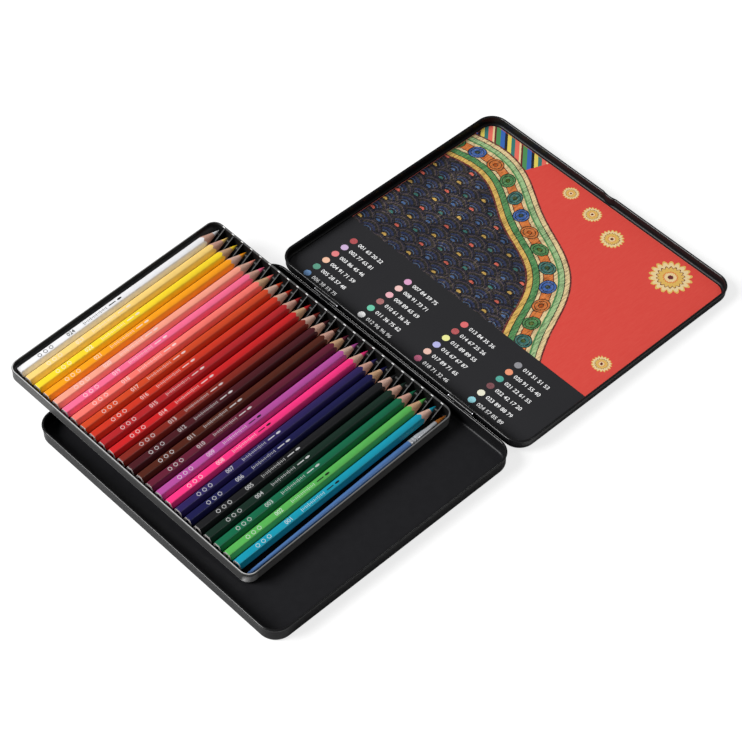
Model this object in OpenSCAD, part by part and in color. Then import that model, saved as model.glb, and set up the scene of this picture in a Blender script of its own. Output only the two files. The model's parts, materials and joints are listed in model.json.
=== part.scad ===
// Colored pencil tin: a hinged flat tin opened out flat, with its pencil tray
// lifted out and laid across the base, leaning on the far rim.
// Millimetres, +Z up. The origin is the centre of the base's underside.
// +X runs along the pencils towards the lid, +Y along the hinge.

/* [Pencils] */
// Number of colored pencils in the tray
pencil_count = 24; // [6:1:25]
// Length of a pencil from blunt end to point
pencil_len = 176; // [120:1:190]
// Width of a pencil across two flats
pencil_flats = 7.4; // [6.4:0.1:8]
// Radius of the round that softens a pencil's six edges
pencil_edge_r = 4.2; // [3.9:0.05:4.6]
// Length of the sharpened part, measured on a flat
point_len = 14; // [9:0.5:22]
// Diameter of the coloured lead
lead_d = 3.3; // [2.2:0.1:4]
// Diameter of the lead's blunted point
lead_tip_d = 0.6; // [0.3:0.1:1]
// Radial glue gap between lead and casing
lead_fit = 0.03; // [0.01:0.01:0.1]

/* [Brush] */
// Diameter of the handle's thickest part, next to the ferrule
handle_d = 5.4; // [4:0.1:7]
// Diameter of the handle's thin tail
tail_d = 2.6; // [2:0.1:4]
// Length of the handle's straight thick part
handle_grip_len = 26; // [10:1:50]
// Length of the metal ferrule
ferrule_len = 24; // [14:1:34]
// Diameter of the ferrule where it holds the bristles
ferrule_tip_d = 3.8; // [3:0.1:5]
// Wall of the ferrule
ferrule_wall = 0.3; // [0.2:0.05:0.5]
// Length of bristle outside the ferrule
bristle_len = 9.5; // [6:0.5:16]
// Length of handle and of bristle inside the ferrule
ferrule_grip = 7; // [4:0.5:9]
// Radial gap inside the ferrule
ferrule_fit = 0.03; // [0.01:0.01:0.1]

/* [Tray] */
// Free width between neighbouring pencils
slot_gap = 0.4; // [0.3:0.05:2]
// Width of the brush's slot
brush_slot = 9.4; // [8:0.1:14]
// Room beyond the last pencil's slot
far_room = 0.7; // [0.5:0.1:6]
// Room between a pencil's point and the end wall
tip_room = 0.8; // [0.5:0.1:6]
// Gap between the last pencil's blunt end and the round of the corner
corner_gap = 0.3; // [0.2:0.05:3]
// Height of the tray
tray_h = 11; // [10:0.5:13]
// Wall and floor of the tray
tray_wall = 0.8; // [0.5:0.1:1.2]
// Outer corner radius of the tray, seen from above
tray_corner = 7.5; // [6:0.5:12]
// Radius of the tray's rounded rim
tray_rim_r = 0.8; // [0.6:0.1:1.1]
// Radius of the round between wall and floor
tray_foot_r = 3; // [1.5:0.1:4]
// Thickness of a rib between two pencil points
rib_t = 0.7; // [0.6:0.1:1.4]
// Length of a rib along the floor
rib_len = 11; // [5:0.5:12]
// Height of a rib at the end wall
rib_h = 8.4; // [5:0.1:9]
// Height of a rib at its free end
rib_toe = 1.4; // [1:0.1:3]
// Height of the ridge between two pencils
ridge_h = 2; // [1:0.1:2.4]
// Width of the ridge at its foot
ridge_w = 2.6; // [1.5:0.1:3.4]

/* [Tin] */
// Height of the base
base_h = 12; // [11:0.5:16]
// Depth of the lid
lid_h = 8.5; // [6:0.5:11]
// Room left of and right of the tray in the closed tin, to the tin's outside
tin_room_x = 11.5; // [3:0.5:16]
// Room near and far of the tray in the closed tin, to the tin's outside
tin_room_y = 2.2; // [2.1:0.1:8]
// Thickness of the sheet metal
tin_wall = 0.6; // [0.4:0.1:1]
// Outer corner radius of the tin, seen from above
tin_corner = 13; // [8:0.5:20]
// Radius of the rolled rim
tin_rim_r = 0.9; // [0.7:0.1:1.3]
// Radius of the round between wall and floor
tin_foot_r = 2.5; // [1.5:0.1:3.5]
// Radius of the snap dimples' sphere
dimple_r = 1.6; // [1.2:0.1:2.2]
// How far a snap dimple stands out of the wall
dimple_h = 0.5; // [0.3:0.1:0.8]
// Height of the snap dimples above the underside
dimple_z = 7.2; // [4:0.2:9]
// Distance of the snap dimples from the tin's ends
dimple_inset = 38; // [22:1:60]
// Radius of the thumb notch's arc
notch_r = 15; // [10:1:25]
// Depth of the thumb notch
notch_depth = 1.5; // [1.3:0.1:2.5]

/* [Printed card] */
// Thickness of the printed card in the lid
card_t = 0.5; // [0.3:0.1:0.8]
// Gap between the card's edge and the lid's inner round
card_gap = 0.3; // [0.1:0.1:1]

/* [Hinges] */
// Gap between a hinge curl and the outside of the tin it doesn't belong to
knuckle_gap = 0.35; // [0.3:0.05:2.5]
// Distance of each hinge's middle from the tin's end
hinge_inset = 51; // [30:1:80]
// Length of the base's curl
base_curl_len = 9; // [6:0.5:14]
// Length of each of the lid's two curls
lid_curl_len = 5.6; // [4:0.2:9]
// Gap between neighbouring curls
curl_gap = 0.4; // [0.2:0.05:0.8]
// Diameter of the hinge pin
pin_d = 1.2; // [1:0.1:2]
// Radial running gap around the hinge pin
pin_fit = 0.05; // [0.02:0.01:0.1]
// Thickness of the curled metal
curl_t = 0.6; // [0.4:0.1:1]
// Diameter of the pin's flattened heads
pin_head_d = 2; // [1.8:0.1:3]
// Thickness of a pin head
pin_head_t = 0.5; // [0.3:0.1:1]
// Gap between a pin head and the curl next to it
head_gap = 0.03; // [0.02:0.01:0.2]

/* [Resting place of the tray] */
// Turn of the tray about the vertical, in degrees
tray_turn = 1.9; // [0:0.1:3]
// Distance of the tray's near edge from the tin's near side
tray_shift = 49.4; // [35:1:70]
// Distance of the tray's tip end from the tin's hinge side
tray_side_gap = 5.4; // [2.6:0.1:8]
// Gap that keeps resting pieces just clear of each other
rest_gap = 0.3; // [0.1:0.05:0.4]

/* [Hidden] */
$fn = 48;
bite = tray_wall / 4;
pencil_r = min(pencil_edge_r, pencil_flats / 2 / cos(30));
pitch = 2 * pencil_r + slot_gap;
point_slope = (pencil_flats - lead_tip_d) / 2 / point_len;
shoulder_len = (pencil_r - lead_tip_d / 2) / point_slope;

tray_face = tray_rim_r + tray_wall / 2;
last_edge = tray_corner - tray_face - far_room - slot_gap / 2;
corner_reach = sqrt(pow(tray_corner - tray_face - corner_gap, 2) - pow(last_edge, 2));
blunt_room = tray_corner - tray_face - corner_reach;
tray_len = pencil_len + tip_room + blunt_room + 2 * tray_face;
tray_wid = brush_slot + pencil_count * pitch + far_room + 2 * tray_face;
pencil_rest_z = tray_wall + rest_gap + pencil_flats / 2;
brush_rest_z = tray_wall + rest_gap + handle_d / 2;
brush_len = pencil_len;
handle_len = brush_len - bristle_len - ferrule_len + ferrule_grip;

tin_face = tin_rim_r + tin_wall / 2;
tin_len = tray_len + 2 * tin_room_x;
tin_wid = tray_wid + 2 * tin_room_y;
curl_r = pin_d / 2 + pin_fit + curl_t;
hinge_reach = curl_r + knuckle_gap;
hinge_x = tin_len / 2 + hinge_reach;
lid_lever = hinge_reach + tin_len - tin_rim_r - tin_foot_r;
lid_tilt = asin((base_h - lid_h) / lid_lever);
card_inset = tin_face + tin_foot_r - tin_wall + card_gap;
pin_len = base_curl_len + 2 * lid_curl_len + 2 * curl_gap + 2 * head_gap;

// The tray's near edge is on the base's floor and its underside clears the far rim.
tray_x = tin_len / 2 - tray_side_gap;
tray_y = tray_shift - tin_wid / 2;
tray_z = tin_wall + rest_gap;
rim_run = (tin_wid - tray_shift - tin_rim_r) / cos(tray_turn);
rim_rise = base_h - tin_rim_r - tray_z;
rim_reach = norm([rim_run, rim_rise]);
tray_lean = atan2(rim_rise, rim_run) + asin((tin_rim_r + rest_gap) / rim_reach);

paints = [
    [0.06, 0.58, 0.68], [0.33, 0.68, 0.32], [0.05, 0.40, 0.27], [0.06, 0.16, 0.12],
    [0.09, 0.09, 0.10], [0.08, 0.08, 0.28], [0.16, 0.12, 0.34], [0.96, 0.20, 0.50],
    [0.69, 0.29, 0.60], [0.38, 0.10, 0.19], [0.31, 0.12, 0.07], [0.28, 0.08, 0.11],
    [0.50, 0.14, 0.10], [0.78, 0.12, 0.13], [0.69, 0.13, 0.15], [0.79, 0.20, 0.12],
    [0.80, 0.27, 0.13], [0.97, 0.46, 0.42], [0.98, 0.42, 0.57], [0.99, 0.62, 0.53],
    [0.99, 0.62, 0.09], [0.99, 0.84, 0.17], [0.98, 0.82, 0.47], [0.93, 0.93, 0.94]
];

function two_digits(i) = i < 10 ? str("0", i) : str(i);
function casing_name(i) = str("pencil_casing_", two_digits(i));
function lead_name(i) = str("pencil_lead_", two_digits(i));
function paint(i) = paints[(i - 1) % len(paints)];

// ---------- Shapes that repeat ----------

// Rounded rectangle about the origin
module rounded_rect(size_x, size_y, r) {
    square([size_x - 2 * r, size_y], center = true);
    square([size_x, size_y - 2 * r], center = true);
    for (sx = [-1, 1], sy = [-1, 1])
        translate([sx * (size_x / 2 - r), sy * (size_y / 2 - r)])
            circle(r);
}

// Section of a pan's wall: x = 0 is the outside of the rim, y = 0 the underside.
// Its foot runs on a little way into the floor.
module wall_section(h, wall, rim_r, foot_r) {
    face = rim_r - wall / 2;
    translate([-face - foot_r - wall / 2, 0])
        square([wall / 2, wall]);
    translate([-face - wall, foot_r])
        square([wall, h - rim_r - foot_r]);
    translate([-rim_r, h - rim_r])
        circle(rim_r);
    translate([-face - foot_r, foot_r])
        intersection() {
            difference() {
                circle(foot_r);
                circle(foot_r - wall);
            }
            translate([0, -foot_r])
                square(foot_r);
        }
}

// Strip along the middle of a pan's wall. It lies inside the metal, and makes one
// solid of the sections, which meet face to face.
module pan_core(size_x, size_y, h, wall, corner, rim_r, foot_r) {
    outer = rim_r - wall / 4;
    inner = rim_r + wall / 4;
    translate([0, 0, foot_r - wall / 2])
        linear_extrude(h - rim_r - foot_r + wall / 2)
            difference() {
                rounded_rect(size_x - 2 * outer, size_y - 2 * outer, corner - outer);
                rounded_rect(size_x - 2 * inner, size_y - 2 * inner, corner - inner);
            }
}

// Pressed pan about the origin, standing on z = 0, with a rounded foot and rim
module pan(size_x, size_y, h, wall, corner, rim_r, foot_r) {
    inset = rim_r - wall / 2 + foot_r;
    linear_extrude(wall)
        rounded_rect(size_x - 2 * inset, size_y - 2 * inset, corner - inset);
    pan_core(size_x, size_y, h, wall, corner, rim_r, foot_r);
    for (side = [0:3]) {
        across = side % 2 == 0 ? size_x / 2 : size_y / 2;
        along = side % 2 == 0 ? size_y / 2 : size_x / 2;
        rotate([0, 0, 90 * side]) {
            translate([across, along - corner, 0])
                rotate([90, 0, 0])
                    linear_extrude(2 * (along - corner))
                        wall_section(h, wall, rim_r, foot_r);
            translate([across - corner, along - corner, 0])
                rotate_extrude(angle = 90)
                    translate([corner, 0])
                        wall_section(h, wall, rim_r, foot_r);
        }
    }
}

// Curl of one hinge leaf on the hinge axis, with its strap running towards -X
module curl(length) {
    difference() {
        rotate([90, 0, 0])
            union() {
                cylinder(r = curl_r, h = length, center = true);
                translate([-hinge_reach - tin_face, -curl_r, -length / 2])
                    cube([hinge_reach + tin_face, curl_t, length]);
            }
        rotate([90, 0, 0])
            cylinder(r = pin_d / 2 + pin_fit, h = length + 1, center = true);
    }
}

// Snap dimple: a low round bump pressed inwards through a wall that faces +X
module dimple() {
    rotate([0, 90, 0])
        rotate_extrude()
            intersection() {
                translate([0, dimple_h - dimple_r])
                    circle(dimple_r);
                translate([0, -tin_wall / 2])
                    square(dimple_r);
            }
}

// Both hinges' places along the tin, near one first
module each_hinge() {
    for (side = [-1, 1])
        translate([0, side * (tin_wid / 2 - hinge_inset), 0])
            children();
}

// ---------- Places ----------

// The lid's own frame: hinge axis at the origin, rim on z = 0, opened outwards
module on_lid() {
    translate([hinge_x, 0, base_h])
        rotate([0, lid_tilt, 0])
            children();
}

// The tray's own frame: tip end, near edge and underside on the three planes
module on_tray() {
    translate([tray_x, tray_y, tray_z])
        rotate([0, 0, tray_turn])
            rotate([tray_lean, 0, 0])
                children();
}

// A long piece's own frame in the tray: blunt end at the origin, pointing to +Z
module on_slot(slot_y, height) {
    on_tray()
        translate([blunt_room + tray_face - tray_len, slot_y, height])
            rotate([0, 90, 0])
                children();
}

module on_pencil(i) {
    on_slot(tray_face + brush_slot + (i - 0.5) * pitch, pencil_rest_z)
        children();
}

module on_brush() {
    on_slot(tray_face + brush_slot / 2, brush_rest_z)
        children();
}

// ---------- Tin ----------

module tin_base() {
    color([0.11, 0.11, 0.12]) {
        pan(tin_len, tin_wid, base_h, tin_wall, tin_corner, tin_rim_r, tin_foot_r);
        for (side = [-1, 1])
            translate([tin_face - tin_len / 2, side * (tin_wid / 2 - dimple_inset), dimple_z])
                dimple();
        translate([hinge_x, 0, base_h])
            each_hinge()
                curl(base_curl_len);
    }
}

// Dented stretch of wall that closes the thumb notch, about the notch's arc
module notch_wall() {
    half_len = sqrt(pow(notch_r, 2) - pow(notch_r - notch_depth, 2)) + tin_wall;
    intersection() {
        union() {
            difference() {
                cylinder(r = notch_r + tin_wall, h = lid_h - tin_rim_r);
                translate([0, 0, -1])
                    cylinder(r = notch_r, h = lid_h);
            }
            translate([0, 0, lid_h - tin_rim_r])
                rotate_extrude()
                    translate([notch_r + tin_wall / 2, 0])
                        circle(tin_rim_r);
        }
        translate([-notch_r - 2 * tin_rim_r, -half_len, tin_wall / 2])
            cube([notch_depth + tin_rim_r, 2 * half_len, lid_h]);
    }
}

module tin_lid() {
    notch_x = tin_len / 2 + notch_r - notch_depth;
    color([0.12, 0.12, 0.13])
        on_lid() {
            translate([hinge_reach + tin_len / 2, 0, -lid_h]) {
                difference() {
                    pan(tin_len, tin_wid, lid_h, tin_wall, tin_corner, tin_rim_r, tin_foot_r);
                    translate([notch_x, 0, tin_wall])
                        cylinder(r = notch_r, h = lid_h);
                }
                translate([notch_x, 0, 0])
                    notch_wall();
            }
            each_hinge()
                for (side = [-1, 1])
                    translate([0, side * (base_curl_len / 2 + curl_gap + lid_curl_len / 2), 0])
                        rotate([0, 0, 180])
                            curl(lid_curl_len);
        }
}

module lid_card() {
    color([0.80, 0.25, 0.20])
        on_lid()
            translate([hinge_reach + tin_len / 2, 0, tin_wall - lid_h])
                linear_extrude(card_t)
                    rounded_rect(tin_len - 2 * card_inset, tin_wid - 2 * card_inset, tin_corner - card_inset);
}

module hinge_pin(side) {
    color("silver")
        translate([hinge_x, side * (tin_wid / 2 - hinge_inset), base_h])
            rotate([90, 0, 0]) {
                cylinder(r = pin_d / 2, h = pin_len, center = true);
                for (end = [-1, 1])
                    translate([0, 0, end * (pin_len + pin_head_t) / 2])
                        cylinder(r = pin_head_d / 2, h = pin_head_t, center = true);
            }
}

// ---------- Tray ----------

// Rib between two pencil points, its sloping edge falling from the end wall
module tip_rib() {
    translate([0, rib_t / 2, 0])
        rotate([90, 0, 0])
            linear_extrude(rib_t)
                polygon([[-rib_len, -bite], [bite, -bite], [bite, rib_h], [0, rib_h], [-rib_len, rib_toe]]);
}

// Low ridge that keeps two pencils apart, from a rib's toe to the blunt end
module slot_ridge() {
    half = ridge_w / 2;
    ridge_len = tray_len - 2 * tray_foot_r - rib_len - tray_face;
    translate([bite - rib_len, 0, 0])
        rotate([90, 0, -90])
            linear_extrude(ridge_len)
                polygon([[-half, -bite], [half, -bite], [half, 0], [0, ridge_h], [-half, 0]]);
}

module pencil_tray() {
    color([0.17, 0.17, 0.17])
        on_tray() {
            translate([-tray_len / 2, tray_wid / 2, 0])
                pan(tray_len, tray_wid, tray_h, tray_wall, tray_corner, tray_rim_r, tray_foot_r);
            for (i = [0:pencil_count - 1])
                translate([-tray_face, tray_face + brush_slot + i * pitch, tray_wall]) {
                    tip_rib();
                    slot_ridge();
                }
        }
}

// ---------- Pencils ----------

// Body of revolution that the sharpener leaves, from the blunt end to the point
module sharpened() {
    rotate_extrude()
        polygon([
            [0, 0],
            [pencil_r, 0],
            [pencil_r, pencil_len - shoulder_len],
            [lead_tip_d / 2, pencil_len],
            [0, pencil_len]
        ]);
}

module pencil_casing(i) {
    color(paint(i))
        on_pencil(i)
            difference() {
                intersection() {
                    rotate([0, 0, 30])
                        cylinder(d = pencil_flats / cos(30), h = pencil_len, $fn = 6);
                    sharpened();
                }
                translate([0, 0, -1])
                    cylinder(r = lead_d / 2 + lead_fit, h = pencil_len + 2);
            }
}

module pencil_lead(i) {
    color(paint(i) * 0.9)
        on_pencil(i)
            intersection() {
                cylinder(d = lead_d, h = pencil_len);
                sharpened();
            }
}

// ---------- Brush ----------

module brush_handle() {
    color([0.30, 0.46, 0.78])
        on_brush()
            rotate_extrude()
                polygon([
                    [0, 0],
                    [tail_d / 2, 0],
                    [handle_d / 2, handle_len - ferrule_grip - handle_grip_len],
                    [handle_d / 2, handle_len - ferrule_grip],
                    [handle_d / 2 - ferrule_wall - ferrule_fit, handle_len - ferrule_grip],
                    [handle_d / 2 - ferrule_wall - ferrule_fit, handle_len],
                    [0, handle_len]
                ]);
}

module brush_ferrule() {
    start = brush_len - bristle_len - ferrule_len;
    taper = start + ferrule_grip + 1;
    color([0.80, 0.81, 0.83])
        on_brush()
            rotate_extrude()
                polygon([
                    [handle_d / 2 - ferrule_wall, start],
                    [handle_d / 2, start],
                    [handle_d / 2, taper],
                    [ferrule_tip_d / 2, start + ferrule_len - ferrule_grip],
                    [ferrule_tip_d / 2, start + ferrule_len],
                    [ferrule_tip_d / 2 - ferrule_wall, start + ferrule_len],
                    [ferrule_tip_d / 2 - ferrule_wall, start + ferrule_len - ferrule_grip],
                    [handle_d / 2 - ferrule_wall, taper]
                ]);
}

module brush_bristles() {
    root_r = ferrule_tip_d / 2 - ferrule_wall - ferrule_fit;
    color([0.78, 0.42, 0.14])
        on_brush()
            translate([0, 0, brush_len - bristle_len - ferrule_grip])
                rotate_extrude()
                    polygon([
                        [0, 0],
                        [root_r, 0],
                        [root_r, ferrule_grip],
                        [root_r * 1.05, ferrule_grip + bristle_len * 0.35],
                        [root_r * 0.7, ferrule_grip + bristle_len * 0.75],
                        [0, ferrule_grip + bristle_len]
                    ]);
}

tin_base();
tin_lid();
lid_card();
hinge_pin(-1);  // hinge_pin_near
hinge_pin(1);  // hinge_pin_far
pencil_tray();
brush_handle();
brush_ferrule();
brush_bristles();
for (i = [1:pencil_count]) {
    pencil_casing(i);
    pencil_lead(i);
}
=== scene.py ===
"""Dresses the colored pencil tin: pencils, brush, printed card, enamel, light and camera.

Lengths are millimetres in a piece's own frame. LocalFrame turns them into the scene's metres.
"""

import json
import logging
import math
from dataclasses import dataclass, field, replace
from enum import Enum
from typing import Callable, Iterable, Sequence

import bmesh
import bpy
from mathutils import Matrix, Vector

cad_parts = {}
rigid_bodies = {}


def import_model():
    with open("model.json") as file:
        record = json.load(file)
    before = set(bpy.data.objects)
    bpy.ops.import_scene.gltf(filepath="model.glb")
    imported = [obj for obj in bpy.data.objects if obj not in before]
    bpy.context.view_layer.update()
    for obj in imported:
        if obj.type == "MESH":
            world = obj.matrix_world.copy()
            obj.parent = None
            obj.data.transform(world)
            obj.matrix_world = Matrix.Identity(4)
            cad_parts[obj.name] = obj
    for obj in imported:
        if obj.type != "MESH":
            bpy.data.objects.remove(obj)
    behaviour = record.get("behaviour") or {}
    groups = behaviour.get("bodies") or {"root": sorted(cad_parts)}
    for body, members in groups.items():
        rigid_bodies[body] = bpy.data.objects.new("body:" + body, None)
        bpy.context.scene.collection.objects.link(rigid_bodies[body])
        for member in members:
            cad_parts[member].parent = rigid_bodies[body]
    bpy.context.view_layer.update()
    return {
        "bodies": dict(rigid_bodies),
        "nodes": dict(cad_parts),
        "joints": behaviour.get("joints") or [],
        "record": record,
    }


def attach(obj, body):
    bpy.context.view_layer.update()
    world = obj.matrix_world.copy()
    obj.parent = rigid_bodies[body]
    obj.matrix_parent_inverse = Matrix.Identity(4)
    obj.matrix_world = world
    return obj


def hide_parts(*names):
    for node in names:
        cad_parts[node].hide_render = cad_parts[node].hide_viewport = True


LOG = logging.getLogger("pencil_tin")
MM = 0.001
RIGHT = Vector((1, 0, 0))
PENCILS = 24
PRINT_SINK = 0.02  # how far printed pieces reach into what carries them
PRINT_THICKNESS = 0.05

Point2 = tuple[float, float]
Point3 = tuple[float, float, float]
Rgb = tuple[float, float, float]
Socket = bpy.types.NodeSocket
Material = bpy.types.Material
Mesh = bpy.types.Mesh
Thing = bpy.types.Object


# ---------- Colours ----------


def linear(rgb: Sequence[float]) -> Rgb:
    """Turns display values from 0 to 1 into the linear values that shaders use."""
    return tuple(c / 12.92 if c <= 0.04045 else ((c + 0.055) / 1.055) ** 2.4 for c in rgb)


def toned(colour: Rgb, factor: float) -> Rgb:
    """The colour made darker or lighter by a factor."""
    return tuple(min(1.0, c * factor) for c in colour)


def grey(value: float) -> Rgb:
    """The grey of one linear value."""
    return (value,) * 3


class Ink(Enum):
    """Printing colours of the card, the marks and the dots, as display values."""

    NIGHT = (0.135, 0.135, 0.145)
    INDIGO = (0.10, 0.11, 0.20)
    NAVY = (0.15, 0.20, 0.36)
    STEEL = (0.30, 0.44, 0.60)
    DUSK = (0.30, 0.26, 0.30)
    TEAL = (0.22, 0.47, 0.45)
    GREEN = (0.30, 0.55, 0.33)
    MINT = (0.62, 0.76, 0.54)
    GOLD = (0.86, 0.70, 0.36)
    SAND = (0.90, 0.80, 0.60)
    ORANGE = (0.85, 0.47, 0.22)
    BLUE = (0.22, 0.40, 0.70)
    SLATE = (0.27, 0.41, 0.61)
    YELLOW = (0.88, 0.80, 0.36)
    MAROON = (0.40, 0.14, 0.15)
    RED = (0.835, 0.27, 0.235)
    ROSE = (0.90, 0.42, 0.36)
    WHITE = (0.95, 0.95, 0.95)
    BLACK = (0.03, 0.03, 0.03)

    @property
    def rgb(self) -> Rgb:
        """The ink's linear values."""
        return linear(self.value)


# ---------- Frames and meshes ----------


@dataclass(frozen=True)
class LocalFrame:
    """A piece's own axes in the scene: an origin in metres and three unit vectors."""

    origin: Vector
    x: Vector
    y: Vector
    z: Vector

    @classmethod
    def along(cls, start: Vector, end: Vector, up: Vector) -> "LocalFrame":
        """Makes the frame that lies along a line.

        Args:
            start: The origin, in metres.
            end: Where the x axis points, in metres.
            up: A direction near the z axis.

        Returns:
            The frame.
        """
        x = (end - start).normalized()
        y = up.cross(x).normalized()
        return cls(start, x, y, x.cross(y))

    def matrix(self) -> Matrix:
        """The matrix from local millimetres to the scene's metres."""
        axes = Matrix((self.x, self.y, self.z)).transposed().to_4x4()
        return Matrix.Translation(self.origin) @ axes @ Matrix.Scale(MM, 4)

    def local(self, place: Vector) -> Vector:
        """Turns a place in the scene into this frame's millimetres."""
        offset = (place - self.origin) / MM
        return Vector((offset.dot(self.x), offset.dot(self.y), offset.dot(self.z)))


def end_centre(points: Sequence[Vector], towards: Vector, band: float = 0.0002) -> Vector:
    """Finds the middle of a long node's end.

    Args:
        points: The node's vertices, in metres.
        towards: The direction in which the wanted end lies.
        band: How far behind the last vertex a vertex still belongs to the end, in metres.

    Returns:
        The mean of the end's vertices.
    """
    last = max(point.dot(towards) for point in points)
    chosen = [point for point in points if point.dot(towards) > last - band]
    return sum(chosen, Vector()) / len(chosen)


def rework(mesh: Mesh, job: Callable[[bmesh.types.BMesh], object]) -> None:
    """Changes a mesh.

    Args:
        mesh: The mesh.
        job: What is done to it as a bmesh.
    """
    work = bmesh.new()
    work.from_mesh(mesh)
    job(work)
    work.to_mesh(mesh)
    work.free()


def link(name: str, data: bpy.types.ID) -> Thing:
    """Puts an object into the scene.

    Args:
        name: Its name.
        data: Its mesh, text, light or camera.

    Returns:
        The object.
    """
    thing = bpy.data.objects.new(name, data)
    bpy.context.scene.collection.objects.link(thing)
    return thing


def evaluated_mesh(thing: Thing) -> Mesh:
    """An object's shape, with its modifiers run, as a new mesh."""
    graph = bpy.context.evaluated_depsgraph_get()
    return bpy.data.meshes.new_from_object(thing.evaluated_get(graph), depsgraph=graph)


def full_turn(steps: int) -> list[float]:
    """Angles in radians that divide a full turn evenly."""
    return [math.tau * i / steps for i in range(steps)]


def oval(x: float, rx: float, ry: float, steps: int) -> list[Point2]:
    """Points round an oval whose centre lies on the x axis."""
    return [(x + rx * math.cos(turn), ry * math.sin(turn)) for turn in full_turn(steps)]


def arc(cx: float, cy: float, r: float, start: float, end: float, steps: int) -> list[Point2]:
    """Points on an arc about a centre, with its angles in degrees."""
    turns = [math.radians(start + (end - start) * i / steps) for i in range(steps + 1)]
    return [(cx + r * math.cos(turn), cy + r * math.sin(turn)) for turn in turns]


def pill(x0: float, x1: float, half: float, r: float, steps: int = 3) -> list[Point2]:
    """Draws a rectangle with rounded corners.

    Args:
        x0: Its left end.
        x1: Its right end.
        half: Half its width.
        r: Radius of a corner.
        steps: Lines in a corner.

    Returns:
        Its outline.
    """
    left, right, side = x0 + r, x1 - r, half - r
    corners = ((right, side, 0), (left, side, 90), (left, -side, 180), (right, -side, 270))
    return [point for cx, cy, turn in corners for point in arc(cx, cy, r, turn, turn + 90, steps)]


@dataclass
class Shell:
    """Closed surfaces gathered in one piece's own millimetres before they become a mesh."""

    places: list[Vector] = field(default_factory=list)
    faces: list[tuple[int, ...]] = field(default_factory=list)
    slots: list[int] = field(default_factory=list)

    def ring(self, places: Iterable[Sequence[float]]) -> list[int]:
        """Adds vertices.

        Args:
            places: Their places.

        Returns:
            Their numbers.
        """
        first = len(self.places)
        self.places.extend(Vector(place) for place in places)
        return list(range(first, len(self.places)))

    def hoop(self, x: float, r: float, steps: int) -> list[int]:
        """Adds a ring of vertices round the x axis."""
        return self.ring((x, r * math.cos(turn), r * math.sin(turn)) for turn in full_turn(steps))

    def face(self, corners: Sequence[int], slot: int = 0) -> None:
        """Adds one face with a material slot."""
        self.faces.append(tuple(corners))
        self.slots.append(slot)

    def bridge(self, a: Sequence[int], b: Sequence[int], slot: int = 0) -> None:
        """Joins two closed rings with quads.

        Args:
            a: Vertex numbers of the first ring.
            b: As many of the second.
            slot: The quads' material slot.
        """
        count = len(a)
        for i in range(count):
            j = (i + 1) % count
            self.face((a[i], a[j], b[j], b[i]), slot)

    def tube(self, rings: Sequence[Sequence[int]], slot: int = 0) -> None:
        """Joins each ring to the next and the last to the first."""
        for a, b in zip(rings, [*rings[1:], rings[0]]):
            self.bridge(a, b, slot)

    def plate(
        self, outline: Sequence[Point2], bottom: float, top: float, slot: int,
        hole: Sequence[Point2] | None = None,
    ) -> None:
        """Adds a flat plate.

        Args:
            outline: Its outline in x and y.
            bottom: Height of its underside.
            top: Height of its upper side.
            slot: Its material slot.
            hole: Outline of a hole, with as many points.
        """
        low, high = (self.ring((x, y, z) for x, y in outline) for z in (bottom, top))
        if hole:
            inside = [self.ring((x, y, z) for x, y in hole) for z in (top, bottom)]
            self.tube([low, high, *inside], slot)
            return
        self.bridge(low, high, slot)
        self.face(high, slot)
        self.face(low[::-1], slot)

    def lathe(self, profile: Sequence[Point2], steps: int) -> None:
        """Turns a profile about the x axis.

        Args:
            profile: Points of (x, radius). The first and the last lie on the axis.
            steps: Number of faces round the axis.
        """
        (start, _), *middle, (end, _) = profile
        rings = [self.hoop(x, r, steps) for x, r in middle]
        for a, b in zip(rings, rings[1:]):
            self.bridge(a, b)
        for pole, near in ((start, rings[0]), (end, rings[-1])):
            tip = self.ring([(pole, 0, 0)])[0]
            for i in range(steps):
                self.face((tip, near[i], near[(i + 1) % steps]))

    def add_mesh(self, mesh: Mesh, place: Matrix, slot: int = 0) -> None:
        """Adds a copy of a mesh.

        Args:
            mesh: The mesh.
            place: Where it lies, in local millimetres.
            slot: Its material slot.
        """
        numbers = self.ring(place @ vertex.co for vertex in mesh.vertices)
        for polygon in mesh.polygons:
            self.face([numbers[i] for i in polygon.vertices], slot)

    def build(
        self, name: str, frame: LocalFrame, *materials: Material, crease: float = 32
    ) -> Thing:
        """Makes the object in the scene.

        Args:
            name: The object's name.
            frame: Where the shell's own millimetres lie.
            materials: One material for each slot number.
            crease: Edges sharper than this many degrees stay sharp.

        Returns:
            The new object, at the origin, with its place in the mesh.
        """
        mesh = bpy.data.meshes.new(name)
        matrix = frame.matrix()
        mesh.from_pydata([matrix @ place for place in self.places], [], self.faces)
        for material in materials:
            mesh.materials.append(material)
        mesh.polygons.foreach_set("material_index", self.slots)
        rework(mesh, lambda work: bmesh.ops.recalc_face_normals(work, faces=work.faces))
        mesh.shade_smooth()
        mesh.set_sharp_from_angle(angle=math.radians(crease))
        return link(name, mesh)


def figures(text: str, height: float, centred: bool) -> Mesh:
    """Makes plain figures as a closed mesh in millimetres.

    Args:
        text: The figures.
        height: Height of a figure.
        centred: Whether the line's middle or its left end lies on the origin.

    Returns:
        A mesh that isn't linked to any object.
    """
    curve = bpy.data.curves.new("figures", "FONT")
    curve.body = text
    curve.size = height / 0.7  # a figure takes 0.7 of the font's size
    curve.align_x = "CENTER" if centred else "LEFT"
    curve.align_y = "CENTER"
    curve.resolution_u = 3
    curve.extrude = PRINT_THICKNESS / 2
    curve.offset = height * 0.012
    holder = link("figures", curve)
    mesh = evaluated_mesh(holder)
    bpy.data.objects.remove(holder)
    mesh.transform(Matrix.Translation((0, 0, PRINT_THICKNESS / 2)))
    rework(mesh, lambda work: bmesh.ops.remove_doubles(work, verts=work.verts, dist=0.0005))
    return mesh


# ---------- Node trees ----------


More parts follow.
